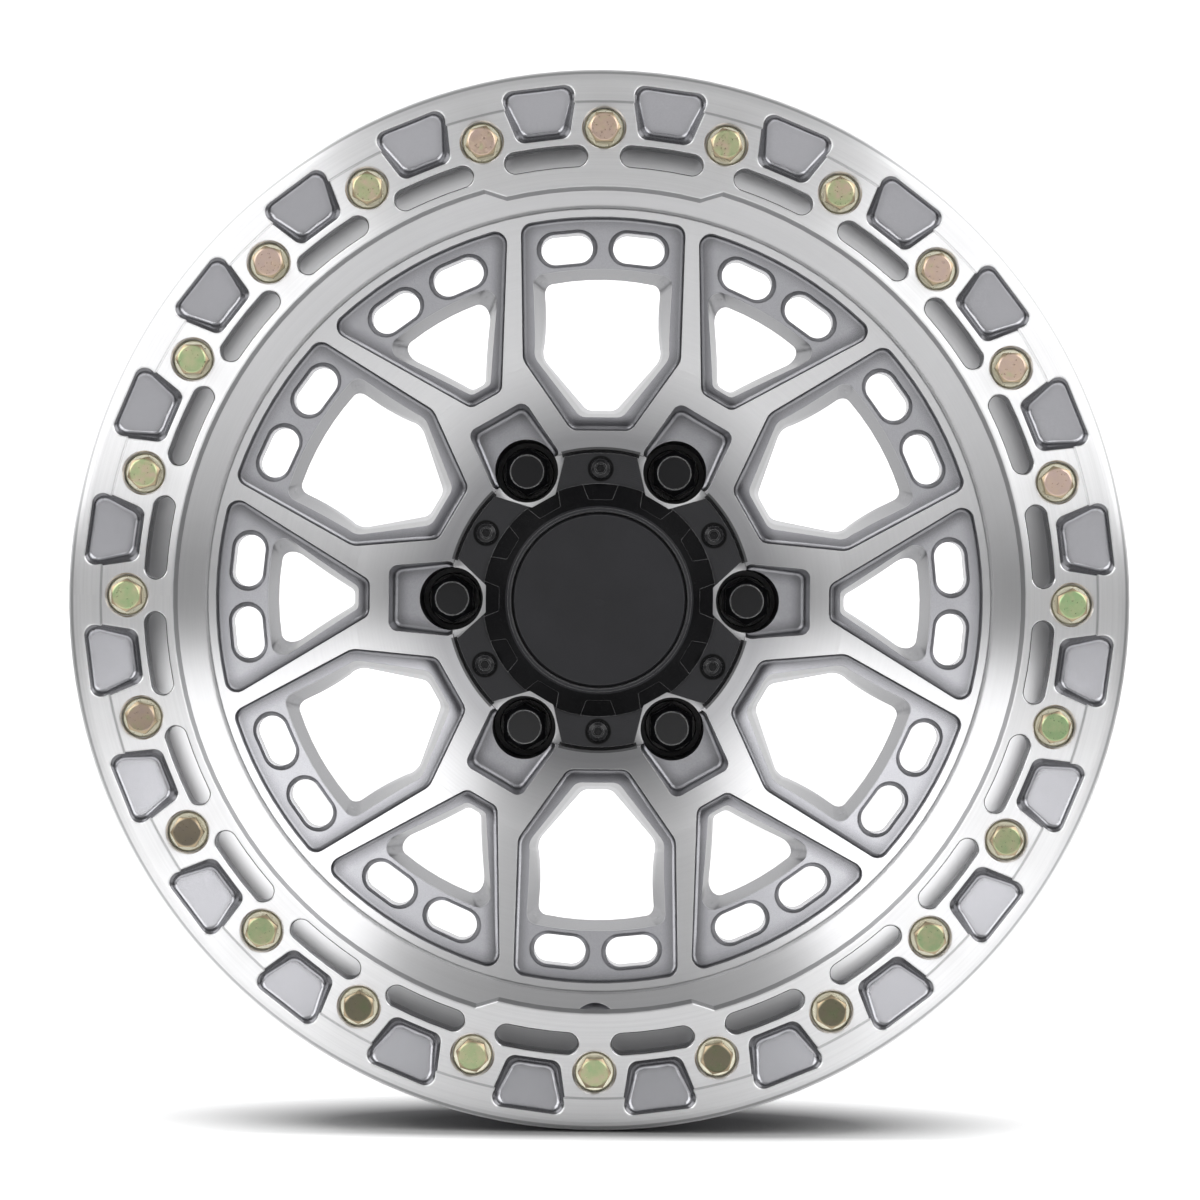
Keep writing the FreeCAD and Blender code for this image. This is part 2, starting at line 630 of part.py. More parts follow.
# Centre cap
plate_top = RECESS_FLOOR - CAP_PLATE
bezel_foot = plate_top - BEZEL_STEP
disc_face = BEZEL_TOP + DISC_DROP
disc_seat = disc_face + DISC_THICK
cap = revolved([
    (CAP_RADIUS, RECESS_FLOOR),
    (CAP_RADIUS, plate_top + 0.6),
    (CAP_RADIUS - 0.6, plate_top),
    (BEZEL_RADIUS, plate_top),
    (BEZEL_RADIUS, bezel_foot),
    (BEZEL_TOP_RADIUS, BEZEL_TOP + 0.5),
    (BEZEL_TOP_RADIUS - 0.6, BEZEL_TOP),
    (DISC_SEAT_RADIUS + 0.4, BEZEL_TOP),
    (DISC_SEAT_RADIUS, BEZEL_TOP + 0.4),
    (DISC_SEAT_RADIUS, disc_seat),
    (0, disc_seat),
    (0, disc_seat + CAP_WALL),
    (CAP_SPIGOT_RADIUS - CAP_WALL, disc_seat + CAP_WALL),
    (CAP_SPIGOT_RADIUS - CAP_WALL, RECESS_FLOOR + CAP_SPIGOT),
    (CAP_SPIGOT_RADIUS, RECESS_FLOOR + CAP_SPIGOT),
    (CAP_SPIGOT_RADIUS, RECESS_FLOOR),
])
notch_face = [at(-x, -FAR / 4, z) for x, z in reversed(CAP_NOTCH)]
notch_face += [at(x, -FAR / 4, z) for x, z in CAP_NOTCH]
cap_notch = Part.Face(Part.makePolygon(notch_face + [notch_face[0]])).extrude(at(0, FAR / 4, 0))
bezel_slope = (BEZEL_TOP + 0.5 - bezel_foot) / (BEZEL_RADIUS - BEZEL_TOP_RADIUS)
cut_start = BEZEL_TOP_RADIUS - 12
cut_end = BEZEL_RADIUS + 6
bezel_cut = revolved([
    (cut_start, -FAR / 4),
    (cut_end, -FAR / 4),
    (cut_end, bezel_foot + BEZEL_NOTCH_DEPTH - bezel_slope * (cut_end - BEZEL_RADIUS)),
    (cut_start, bezel_foot + BEZEL_NOTCH_DEPTH - bezel_slope * (cut_start - BEZEL_RADIUS)),
])
bezel_notch = prism(BEZEL_NOTCH, 0, [0.8, 0.8], -FAR / 4, plate_top).common(bezel_cut)
cap_screw_hole = rod(SCREW_RADIUS + 0.3, 0, SCREW_CIRCLE_RADIUS, plate_top - 1, RECESS_FLOOR + 1)
cap_tools = around(cap_notch, STUD_COUNT, half_turn)
cap_tools += around(bezel_notch, BEZEL_NOTCH_COUNT)
cap_tools += around(cap_screw_hole, STUD_COUNT)
cap = cap.cut(cap_tools)

# Face disc of the cap
disc = revolved([
    (0, disc_face - DISC_DOME),
    (DISC_RADIUS * 0.5, disc_face - DISC_DOME * 0.75),
    (DISC_RADIUS - 0.8, disc_face),
    (DISC_RADIUS, disc_face + 0.8),
    (DISC_RADIUS, disc_seat),
    (0, disc_seat),
])

# Cap screws
head_face = plate_top - SCREW_HEAD
screw = revolved([
    (0, head_face),
    (SCREW_HEAD_RADIUS * 0.55, head_face),
    (SCREW_HEAD_RADIUS * 0.85, head_face + 1.0),
    (SCREW_HEAD_RADIUS, head_face + 2.4),
    (SCREW_HEAD_RADIUS, plate_top),
    (SCREW_RADIUS, plate_top),
    (SCREW_RADIUS, RECESS_FLOOR + SCREW_REACH),
    (0, RECESS_FLOOR + SCREW_REACH),
])
screw = screw.cut(hexagon(SCREW_SOCKET, 0, 0, head_face - 1, head_face + SCREW_SOCKET_DEPTH))
screw.translate(at(0, 0, SCREW_CIRCLE_RADIUS))
cap_screws = Part.makeCompound(around(screw, STUD_COUNT))

# Wheel nuts
nut_foot = -NUT_SEAT_DEPTH + nut_cone * 0.9
nut_top = -NUT_SEAT_DEPTH - NUT_HEIGHT
hex_reach = NUT_HEX / math.sqrt(3)
nut_limit = revolved([
    (0, nut_top),
    (NUT_CAP_RADIUS - NUT_CAP_BEVEL, nut_top),
    (NUT_CAP_RADIUS, nut_top + NUT_CAP_BEVEL),
    (hex_reach + 0.2, nut_top + 4.5),
    (hex_reach + 0.2, -NUT_SEAT_DEPTH),
    (0, -NUT_SEAT_DEPTH),
])
nut = hexagon(NUT_HEX, 0, 0, nut_top, -NUT_SEAT_DEPTH).common(nut_limit)
seat_share = (NUT_SEAT_RADIUS - STUD_HOLE_RADIUS) * 0.9
nut_seat = revolved([
    (0, -NUT_SEAT_DEPTH - 3),
    (NUT_SEAT_RADIUS - 0.6, -NUT_SEAT_DEPTH - 3),
    (NUT_SEAT_RADIUS, -NUT_SEAT_DEPTH - 2.4),
    (NUT_SEAT_RADIUS, -NUT_SEAT_DEPTH),
    (NUT_SEAT_RADIUS - seat_share, nut_foot),
    (0, nut_foot),
])
nut = nut.fuse(nut_seat).removeSplitter()
nut = nut.cut(rod(NUT_THREAD_RADIUS, 0, 0, -NUT_SEAT_DEPTH - NUT_THREAD_DEPTH, 5))
nut.translate(at(0, 0, STUD_CIRCLE_RADIUS))
lug_nuts = Part.makeCompound(around(nut, STUD_COUNT, half_turn))

pieces = {
    "wheel_casting": casting,
    "clamp_ring": ring,
    "ring_bolts": ring_bolts,
    "centre_cap": cap,
    "cap_disc": disc,
    "cap_screws": cap_screws,
    "lug_nuts": lug_nuts,
}
for name, shape in pieces.items():
    shape.exportStep("parts/" + name + ".step")
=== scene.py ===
import bpy
import math
from mathutils import Vector, Matrix

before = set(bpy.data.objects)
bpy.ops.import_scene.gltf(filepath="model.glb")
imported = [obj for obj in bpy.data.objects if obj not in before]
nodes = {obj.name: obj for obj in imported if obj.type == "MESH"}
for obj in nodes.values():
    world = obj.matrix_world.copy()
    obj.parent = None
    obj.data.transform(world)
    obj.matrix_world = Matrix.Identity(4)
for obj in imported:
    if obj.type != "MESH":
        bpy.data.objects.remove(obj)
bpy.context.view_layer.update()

scene = bpy.context.scene

# Places on the solids, in metres
CREASE = (0.114, -0.080)
HUB_EDGE = (0.0708, -0.068)
OUTER_EDGE = (0.1794, -0.105)
LIP_FOOT = (0.1812, -0.1041)
LIP_TOP = (0.206, -0.1263)
RECESS_FLOOR = -0.060
RING_FRONT = -0.141
STUD_RADIUS = 0.06985
NUT_POCKET = 0.0149
NUT_POCKET_BACK = -0.002
SHELF_INNER = (0.0700, -0.0580)
SHELF_OUTER = (0.1794, -0.0955)
CAP_EDGE = 0.0698
SCREW_CIRCLE = 0.0618
POCKET_INNER = (0.2083, -0.1315)
POCKET_OUTER = (0.2312, -0.1376)
RING_STEP = 0.2236
RING_BOLTS = 0.212
FLOOR = -0.239

# Bounds of the finishes, and of the painted shade and highlights, on them: a radius, a depth along the spin
# axis, or where a change starts and ends
TURNED_SKIN = (0.00025, 0.00045)
RECESS_EDGE = 0.0712
TURNED_FRONT = -0.064
CLAMP_SEAT = (0.2, -0.1255)
HUB_SHADE = (0.076, 0.112)
KEYSTONE_HALF = 0.022
KEYSTONE_REACH = 0.1075
KEYSTONE_BACK = -0.04
WEB_SLOTS = (0.1545, 0.1725)
CAP_GAP = 0.0008
CAP_GAP_HALF = 0.0013
CAP_ARM_HALF = 15.0
RING_PAINT = (0.1938, 0.2328)
RING_PAINT_BACK = -0.1265
COUNTERBORE = 0.0102
RING_GROOVE = 0.2370
BOLT_TOP = (-0.1441, -0.1438)
BOLT_FLANGE = (-0.1388, -0.1384)
BEZEL_EDGE = 0.0548
BEZEL_FOOT = -0.0663
BEZEL_TOP = -0.0752
SCREW_SEAT = (0.0058, 0.0064)
SECTOR = 60.0
RING_PITCH = 15.0
RING_COUNT = 360.0 / RING_PITCH
EDGE_ROUND = 0.0004
SEAM_LEAN = (0.08, 0.16)


class Shader:
    """A node material under construction, with short forms for its arithmetic."""

    def __init__(self, name):
        self.material = bpy.data.materials.new(name)
        self.material.use_nodes = True
        self.tree = self.material.node_tree
        self.tree.nodes.clear()
        self.output = self.tree.nodes.new("ShaderNodeOutputMaterial")

    def node(self, kind, **settings):
        made = self.tree.nodes.new(kind)
        for key, value in settings.items():
            setattr(made, key, value)
        return made

    def put(self, socket, value):
        if isinstance(value, bpy.types.NodeSocket):
            self.tree.links.new(value, socket)
        else:
            socket.default_value = value

    def math(self, operation, *values):
        made = self.node("ShaderNodeMath", operation=operation)
        for socket, value in zip(made.inputs, values):
            self.put(socket, value)
        return made.outputs[0]

    def vector(self, operation, *values):
        made = self.node("ShaderNodeVectorMath", operation=operation)
        for socket, value in zip(made.inputs, values):
            self.put(socket, value)
        return made

    def add(self, a, b):
        return self.math("ADD", a, b)

    def sub(self, a, b):
        return self.math("SUBTRACT", a, b)

    def mul(self, a, b):
        return self.math("MULTIPLY", a, b)

    def ramp(self, value, low, high, to_low=0.0, to_high=1.0):
        made = self.node("ShaderNodeMapRange", clamp=True)
        for key, number in (("Value", value), ("From Min", low), ("From Max", high),
                            ("To Min", to_low), ("To Max", to_high)):
            self.put(made.inputs[key], number)
        return made.outputs["Result"]

    def place(self):
        """Object coordinates as x, y, z, and the radius and angle about the spin axis."""
        coords = self.node("ShaderNodeTexCoord")
        parts = self.node("ShaderNodeSeparateXYZ")
        self.put(parts.inputs[0], coords.outputs["Object"])
        x, y, z = parts.outputs
        radius = self.math("SQRT", self.add(self.mul(x, x), self.mul(z, z)))
        angle = self.math("ARCTAN2", z, x)
        return coords.outputs["Object"], x, y, z, radius, angle

    def fold(self, angle, pitch, start=0.0):
        """The angle from the nearest of evenly spread axes."""
        step = math.radians(pitch)
        shifted = self.add(angle, 20 * math.pi + step / 2 - math.radians(start))
        return self.sub(self.math("MODULO", shifted, step), step / 2)

    def noise(self, vector, scale, detail=2.0, rough=0.5):
        made = self.node("ShaderNodeTexNoise")
        self.put(made.inputs["Vector"], vector)
        self.put(made.inputs["Scale"], scale)
        self.put(made.inputs["Detail"], detail)
        self.put(made.inputs["Roughness"], rough)
        return made.outputs["Fac"]

    def colour(self, value, stops):
        made = self.node("ShaderNodeValToRGB")
        self.put(made.inputs[0], value)
        ramp = made.color_ramp
        while len(ramp.elements) < len(stops):
            ramp.elements.new(0.5)
        for element, (at, rgb) in zip(ramp.elements, stops):
            element.position = at
            element.color = (*rgb, 1.0)
        return made.outputs[0]

    def bump(self, height, strength, distance, normal=None):
        made = self.node("ShaderNodeBump")
        self.put(made.inputs["Height"], height)
        self.put(made.inputs["Strength"], strength)
        self.put(made.inputs["Distance"], distance)
        if normal is not None:
            self.put(made.inputs["Normal"], normal)
        return made.outputs["Normal"]

    def rounded(self, radius):
        made = self.node("ShaderNodeBevel", samples=2)
        made.inputs["Radius"].default_value = radius
        return made.outputs["Normal"]

    def about_axis(self, normal, x, z, radius):
        """The normal of a turned face, without the slight lean round the axis at the mesh's seam."""
        along = self.node("ShaderNodeCombineXYZ")
        self.put(along.inputs[0], self.math("DIVIDE", z, radius))
        self.put(along.inputs[2], self.math("DIVIDE", self.mul(x, -1.0), radius))
        lean = self.vector("DOT_PRODUCT", normal, along.outputs[0]).outputs["Value"]
        share = self.ramp(self.math("ABSOLUTE", lean), *SEAM_LEAN, 1.0, 0.0)
        off = self.vector("SCALE", along.outputs[0])
        self.put(off.inputs["Scale"], self.mul(lean, share))
        straight = self.vector("SUBTRACT", normal, off.outputs["Vector"])
        return self.vector("NORMALIZE", straight.outputs["Vector"]).outputs["Vector"]

    def edge(self, soft, low, high):
        """One on sharp edges, nothing on flat places: how far a rounded normal leaves the true one."""
        place = self.node("ShaderNodeNewGeometry")
        made = self.vector("DOT_PRODUCT", soft, place.outputs["Normal"])
        return self.ramp(made.outputs["Value"], 1.0 - low, 1.0 - high)

    def hollow(self, reach):
        """One deep in corners and pockets, nothing on open faces."""
        made = self.node("ShaderNodeAmbientOcclusion", samples=3, only_local=True)
        made.inputs["Distance"].default_value = reach
        return self.sub(1.0, made.outputs["AO"])

    def streaks(self, radius, y, angle):
        """Long marks that run round the wheel, as a lathe tool leaves them."""
        made = self.node("ShaderNodeCombineXYZ")
        self.put(made.inputs[0], self.mul(radius, 900.0))
        self.put(made.inputs[1], self.mul(y, 900.0))
        self.put(made.inputs[2], self.mul(angle, 1.5))
        return self.noise(made.outputs[0], 1.0, 3.0, 0.6)

    def blend(self, share, first, second):
        made = self.node("ShaderNodeMix", data_type="RGBA")
        self.put(made.inputs["Factor"], share)
        for name, value in (("A", first), ("B", second)):
            socket = [s for s in made.inputs if s.name == name and s.type == "RGBA"][0]
            if isinstance(value, tuple):
                value = (*value, 1.0)
            self.put(socket, value)
        return [s for s in made.outputs if s.type == "RGBA"][0]

    def surface(self, **values):
        made = self.node("ShaderNodeBsdfPrincipled")
        for key, value in values.items():
            socket = made.inputs[key.replace("_", " ").title().replace("Ior", "IOR")]
            if isinstance(value, tuple) and len(value) == 3:
                value = (*value, 1.0)
            self.put(socket, value)
        return made

    def turned(self, **values):
        """A lathe-turned metal: the gloss is drawn out across the turning marks."""
        made = self.surface(metallic=1.0, **values)
        tangent = self.node("ShaderNodeTangent", direction_type="RADIAL", axis="Y")
        self.put(made.inputs["Tangent"], tangent.outputs[0])
        return made

    def mix(self, share, first, second):
        made = self.node("ShaderNodeMixShader")
        self.put(made.inputs[0], share)
        self.put(made.inputs[1], first.outputs[0])
        self.put(made.inputs[2], second.outputs[0])
        return made

    def finish(self, last):
        self.tree.links.new(last.outputs[0], self.output.inputs["Surface"])
        return self.material


def dress(name, material):
    """Gives a CAD node its material."""
    mesh = nodes[name].data
    mesh.materials.clear()
    mesh.materials.append(material)


def slope(a, b):
    return (b[1] - a[1]) / (b[0] - a[0])


def grey(tone, blue=0.008):
    return (tone, tone, tone + blue)


def alloy_paint(s, coords, soft, low, high, deep, shade, roughness, bright=0.0):
    """Satin silver-grey paint with flake, darker with painted shade where shade is given, as where it is
    shaded by walls, and lighter with a painted highlight where bright is given.
    """
    flake = s.noise(coords, 2600.0, 1.0)
    cloud = s.noise(coords, 14.0, 2.0)
    depth = s.add(s.mul(flake, 0.6), s.mul(cloud, 0.4))
    tone = s.colour(depth, [(0.32, grey(low, 0.018)), (0.68, grey(high, 0.022))])
    # Painted highlight where bright is given
    tone = s.blend(bright, tone, grey(0.66, 0.02))
    # Painted shade in the deep tone where shade is given
    tone = s.blend(shade, tone, grey(deep, 0.008))
    return s.surface(base_color=tone, metallic=0.95, roughness=roughness, coat_weight=0.2,
                     coat_roughness=0.15, normal=s.bump(flake, 0.10, 0.0003, soft))


def casting_material():
    """Turned faces at the front, clear of the paint in recesses, windows, barrel and back."""
    s = Shader("cast_alloy")
    coords, x, y, z, radius, angle = s.place()

    def line(a, b):
        return s.add(s.mul(s.sub(radius, a[0]), slope(a, b)), a[1])

    hub = line(HUB_EDGE, CREASE)
    arm = line(CREASE, OUTER_EDGE)
    lip = line(LIP_FOOT, LIP_TOP)
    front = s.math("MAXIMUM", s.math("MINIMUM", hub, arm), OUTER_EDGE[1])
    outside = s.math("GREATER_THAN", radius, LIP_FOOT[0] - 0.002)
    front = s.add(s.mul(front, s.sub(1.0, outside)), s.mul(s.math("MINIMUM", lip, LIP_FOOT[1]), outside))
    bare = s.ramp(s.sub(y, front), *TURNED_SKIN, 1.0, 0.0)
    bare = s.mul(bare, s.math("LESS_THAN", y, TURNED_FRONT))
    floor_gap = s.math("ABSOLUTE", s.sub(y, RECESS_FLOOR))
    recess = s.mul(s.math("LESS_THAN", floor_gap, 0.0004), s.math("LESS_THAN", radius, RECESS_EDGE))
    bare = s.math("MAXIMUM", bare, recess)
    seat = s.mul(s.math("LESS_THAN", y, CLAMP_SEAT[1]), s.math("GREATER_THAN", radius, CLAMP_SEAT[0]))
    bare = s.math("MAXIMUM", bare, seat)

    # Fine turning lines; a painted highlight along the cut edges, and painted shade darkening the metal near
    # the cap
    soft = s.rounded(EDGE_ROUND)
    even = s.about_axis(soft, x, z, radius)
    marks = s.streaks(radius, y, angle)
    wave = s.math("SINE", s.mul(s.add(radius, s.mul(y, 0.7)), 5200.0))
    grain = s.noise(coords, 900.0, 2.0)
    height = s.add(s.mul(wave, 0.4), s.add(s.mul(grain, 0.5), s.mul(marks, 0.3)))
    lines = s.bump(height, 0.04, 0.0004, even)
    tone = s.colour(marks, [(0.3, grey(0.615)), (0.7, grey(0.64))])
    # Painted shade: darker towards the cap, standing in for the darker reflection there
    painted_hub_shade = s.mul(s.ramp(radius, *HUB_SHADE, 0.62, 0.0), s.math("LESS_THAN", y, HUB_EDGE[1] + 0.001))
    tone = s.blend(painted_hub_shade, tone, grey(0.04))
    # Painted highlight: paler along the cut edges
    tone = s.blend(s.edge(soft, 0.01, 0.12), tone, grey(0.85))
    metal = s.turned(base_color=tone, roughness=0.36, anisotropic=0.9, anisotropic_rotation=0.25,
                     normal=lines)

    # Paint, with painted shade on walls, in corners and on the windows' sills, and a painted highlight on
    # the slots' rims
    fold = s.fold(angle, SECTOR)
    out = s.sub(s.mul(radius, s.math("COSINE", fold)), STUD_RADIUS)
    across = s.mul(radius, s.math("SINE", fold))
    from_stud = s.math("SQRT", s.add(s.mul(out, out), s.mul(across, across)))
    keystone = s.mul(s.math("LESS_THAN", s.math("ABSOLUTE", across), KEYSTONE_HALF),
                     s.math("LESS_THAN", radius, KEYSTONE_REACH))
    above_shelf = s.sub(line(SHELF_INNER, SHELF_OUTER), y)
    walls = s.ramp(above_shelf, 0.0006, 0.0030, 0.0, 0.5)
    in_keystone = s.mul(keystone, s.math("LESS_THAN", y, KEYSTONE_BACK))
    front_side = s.math("MAXIMUM", s.ramp(above_shelf, -0.0006, -0.0001), in_keystone)
    corners = s.mul(s.ramp(s.hollow(0.008), 0.08, 0.42), front_side)
    below = s.ramp(above_shelf, -0.0003, -0.0012)
    by_slots = s.mul(s.math("GREATER_THAN", radius, WEB_SLOTS[0]),
                     s.math("LESS_THAN", radius, WEB_SLOTS[1]))
    rims = s.mul(s.mul(below, by_slots), s.ramp(above_shelf, -0.0040, -0.0025, 0.0, 0.7))
    sills = s.mul(s.mul(below, s.sub(1.0, by_slots)), s.ramp(above_shelf, -0.0300, -0.0220, 0.0, 0.62))
    sills = s.mul(sills, s.sub(1.0, keystone))
    shade = s.math("MAXIMUM", s.math("MAXIMUM", walls, corners), sills)
    paint = alloy_paint(s, coords, even, 0.31, 0.40, 0.11, shade, 0.32, rims)

    # Painted shadow: the nuts' pockets and the narrow gap round the arms of the cap coloured near black,
    # where they lie in shade
    pocket = s.mul(s.math("LESS_THAN", from_stud, NUT_POCKET + 0.0002),
                   s.math("GREATER_THAN", y, RECESS_FLOOR + 0.0002))
    pocket = s.mul(pocket, s.math("LESS_THAN", y, NUT_POCKET_BACK))
    gap = s.math("LESS_THAN", s.math("ABSOLUTE", s.sub(radius, CAP_EDGE + CAP_GAP)), CAP_GAP_HALF)
    from_arm = s.math("ABSOLUTE", s.fold(angle, SECTOR, SECTOR / 2))
    gap = s.mul(gap, s.math("LESS_THAN", from_arm, math.radians(CAP_ARM_HALF)))
    gap = s.mul(gap, s.math("LESS_THAN", y, RECESS_FLOOR + 0.002))
    painted_shadow = s.surface(base_color=(0.030, 0.030, 0.032), roughness=0.30)
    return s.finish(s.mix(s.math("MAXIMUM", pocket, gap), s.mix(bare, paint, metal), painted_shadow))


def ring_material():
    """Turned bright, with paint in the pockets and slots; painted shade on the paint's walls and corners,
    along two fine grooves and on the inner edge of the opening.
    """
    s = Shader("turned_alloy")
    coords, x, y, z, radius, angle = s.place()
    fold = s.fold(angle, RING_PITCH)
    out = s.sub(s.mul(radius, s.math("COSINE", fold)), RING_BOLTS)
    across = s.mul(radius, s.math("SINE", fold))
    from_bolt = s.math("SQRT", s.add(s.mul(out, out), s.mul(across, across)))
    inside = s.mul(s.math("LESS_THAN", radius, RING_PAINT[1]), s.math("GREATER_THAN", radius, RING_PAINT[0]))
    inside = s.mul(inside, s.math("LESS_THAN", y, RING_PAINT_BACK))
    inside = s.mul(inside, s.math("GREATER_THAN", from_bolt, COUNTERBORE))
    step = s.ramp(radius, RING_STEP - 0.0003, RING_STEP + 0.0003, 0.0, 0.0007)
    depth = s.sub(s.sub(y, RING_FRONT), step)
    painted = s.mul(inside, s.ramp(depth, *TURNED_SKIN))
    rise = s.mul(s.sub(radius, POCKET_INNER[0]), slope(POCKET_INNER, POCKET_OUTER))
    floor = s.add(rise, POCKET_INNER[1])
    walls = s.ramp(s.sub(floor, y), 0.0004, 0.0014)

    soft = s.rounded(EDGE_ROUND)
    even = s.about_axis(soft, x, z, radius)
    marks = s.streaks(radius, y, angle)
    wave = s.math("SINE", s.mul(s.add(radius, s.mul(y, 0.7)), 6400.0))
    lines = s.bump(s.add(s.mul(wave, 0.4), s.mul(marks, 0.8)), 0.03, 0.0003, even)
    tone = s.colour(marks, [(0.3, grey(0.80)), (0.7, grey(0.86))])
    # Painted shade: dark lines along the fine groove and the step
    from_groove = s.math("ABSOLUTE", s.sub(radius, RING_GROOVE))
    from_step = s.math("ABSOLUTE", s.sub(radius, RING_STEP + 0.0001))
    groove_shade = s.math("MAXIMUM", s.ramp(from_groove, 0.0004, 0.0009, 0.55, 0.0),
                     s.ramp(from_step, 0.0004, 0.0008, 0.45, 0.0))
    tone = s.blend(groove_shade, tone, grey(0.20))
    # Painted shade on the inner edge of the opening, where the ring meets the lip
    inner_edge_shade = s.mul(s.math("LESS_THAN", radius, RING_PAINT[0]), s.ramp(depth, 0.0003, 0.0006))
    tone = s.blend(inner_edge_shade, tone, grey(0.34))
    metal = s.turned(base_color=tone, roughness=0.46, anisotropic=1.0, anisotropic_rotation=0.25,
                     normal=lines)
    # Painted shade on the paint's walls and in its corners
    shade = s.math("MAXIMUM", walls, s.ramp(s.hollow(0.004), 0.2, 0.7))
    paint = alloy_paint(s, coords, even, 0.32, 0.41, 0.13, shade, 0.25)
    return s.finish(s.mix(painted, metal, paint))


def zinc_material():
    """Yellow zinc: each bolt a little greener or pinker than its neighbour; painted shade darkens the lower
    bolts, some more than others, and the sides, and a painted highlight makes the flange pale.
    """
    s = Shader("zinc_steel")
    coords, x, y, z, radius, angle = s.place()
    number = s.math("ROUND", s.math("DIVIDE", angle, math.radians(RING_PITCH)))
    last = s.math("LESS_THAN", number, 0.5 - RING_COUNT / 2)
    number = s.add(number, s.mul(last, RING_COUNT))
    chance = s.math("FRACT", s.mul(s.math("SINE", s.mul(number, 12.9898)), 43.7585))
    tint = s.add(s.mul(s.noise(coords, 160.0, 3.0, 0.6), 0.6), s.mul(chance, 0.4))
    tone = s.colour(tint, [(0.25, (0.30, 0.42, 0.22)), (0.44, (0.44, 0.45, 0.27)),
                           (0.56, (0.54, 0.41, 0.32)), (0.75, (0.50, 0.38, 0.34))])
    # Painted shade: darker towards the bottom, more on some bolts than others
    deep = s.add(0.25, s.mul(s.math("GREATER_THAN", chance, 0.4), 0.6))
    tone = s.blend(s.mul(s.ramp(z, -0.12, 0.0, 1.0, 0.0), deep), tone, (0.05, 0.06, 0.035))
    # Painted shade: the sides below the top darker brown
    sides = s.ramp(y, *BOLT_TOP)
    tone = s.blend(sides, tone, (0.34, 0.27, 0.18))
    # Painted highlight: the flange pale
    flange = s.ramp(y, *BOLT_FLANGE)
    tone = s.blend(flange, tone, (0.74, 0.72, 0.58))
    rough = s.noise(coords, 900.0, 3.0)
    normal = s.bump(rough, 0.06, 0.0003, s.rounded(EDGE_ROUND))
    return s.finish(s.surface(base_color=tone, metallic=1.0, roughness=s.ramp(rough, 0.3, 0.7, 0.26, 0.40),
                              normal=normal))


def black_material(name, tone, roughness, grain_scale, grain_depth, specular, edge_highlight, turned_lines=0.0,
                   round_edge=0.0005):
    """Black with a fine grain, and paler edges as a painted highlight."""
    s = Shader(name)
    coords, x, y, z, radius, angle = s.place()
    grain = s.noise(coords, grain_scale, 3.0)
    height = grain
    if turned_lines:
        height = s.add(s.mul(grain, 0.4), s.mul(s.math("SINE", s.mul(radius, 7000.0)), turned_lines))
    cloud = s.noise(coords, 35.0, 2.0)
    colour = s.colour(cloud, [(0.3, tuple(v * 0.85 for v in tone)), (0.7, tuple(v * 1.15 for v in tone))])
    soft = s.rounded(round_edge)
    # Painted highlight: paler on the edges
    colour = s.blend(s.edge(soft, 0.02, 0.20), colour, grey(edge_highlight, 0.002))
    normal = s.bump(height, grain_depth, 0.0003, soft)
    made = s.surface(base_color=colour, normal=normal,
                     roughness=s.ramp(grain, 0.3, 0.7, roughness * 0.9, roughness * 1.1))
    made.inputs["Specular IOR Level"].default_value = specular
    return s, y, radius, made


def plain_black(*values, **more):
    s, y, radius, made = black_material(*values, **more)
    return s.finish(made)


def cap_material():
    """Anodised black: brushed arms, and a glossier bezel given a darker tone as painted shade; painted
    highlights on the edges, and painted shade round each screw.
    """
    s, y, radius, arms = black_material("black_alloy", (0.011, 0.011, 0.013), 0.42, 1200.0, 0.12, 0.32, 0.22,
                                        turned_lines=0.5)
    grain = s.noise(s.node("ShaderNodeTexCoord").outputs["Object"], 1500.0, 2.0)
    soft = s.rounded(EDGE_ROUND)
    # Painted shade darkens the bezel; painted highlight on its edges
    tone = s.blend(s.edge(soft, 0.02, 0.25), (0.0035, 0.0035, 0.004), grey(0.34, 0.002))
    bezel = s.surface(base_color=tone, roughness=s.ramp(grain, 0.3, 0.7, 0.22, 0.28),
                      normal=s.bump(grain, 0.03, 0.0003, soft))
    bezel.inputs["Specular IOR Level"].default_value = 0.16
    angle = s.place()[5]
    turn = s.fold(angle, SECTOR, SECTOR / 2)
    out = s.sub(s.mul(radius, s.math("COSINE", turn)), SCREW_CIRCLE)
    across = s.mul(radius, s.math("SINE", turn))
    from_screw = s.math("SQRT", s.add(s.mul(out, out), s.mul(across, across)))
    # Painted shade: a near-black ring round each screw, in its seat
    seat = s.surface(base_color=(0.002, 0.002, 0.002), roughness=0.6)
    seat.inputs["Specular IOR Level"].default_value = 0.1
    arms = s.mix(s.ramp(from_screw, *SCREW_SEAT, 1.0, 0.0), arms, seat)
    raised = s.mul(s.math("LESS_THAN", y, BEZEL_FOOT), s.math("LESS_THAN", radius, BEZEL_EDGE))
    rim = s.math("LESS_THAN", y, BEZEL_TOP)
    return s.finish(s.mix(s.mul(raised, s.sub(1.0, rim)), arms, bezel))


dress("wheel_casting", casting_material())
dress("clamp_ring", ring_material())
dress("ring_bolts", zinc_material())
dress("centre_cap", cap_material())
# Painted highlights on the edges of the disc, screws and nuts, palest on the nuts
dress("cap_disc", plain_black("black_plastic", (0.011, 0.011, 0.013), 0.50, 1600.0, 0.12, 0.26, 0.10))
dress("cap_screws", plain_black("black_steel", (0.008, 0.008, 0.009), 0.26, 1500.0, 0.03, 0.30, 0.22))
dress("lug_nuts", plain_black("gloss_steel", (0.008, 0.008, 0.009), 0.18, 1500.0, 0.02, 0.50, 0.75,
                              round_edge=0.0010))


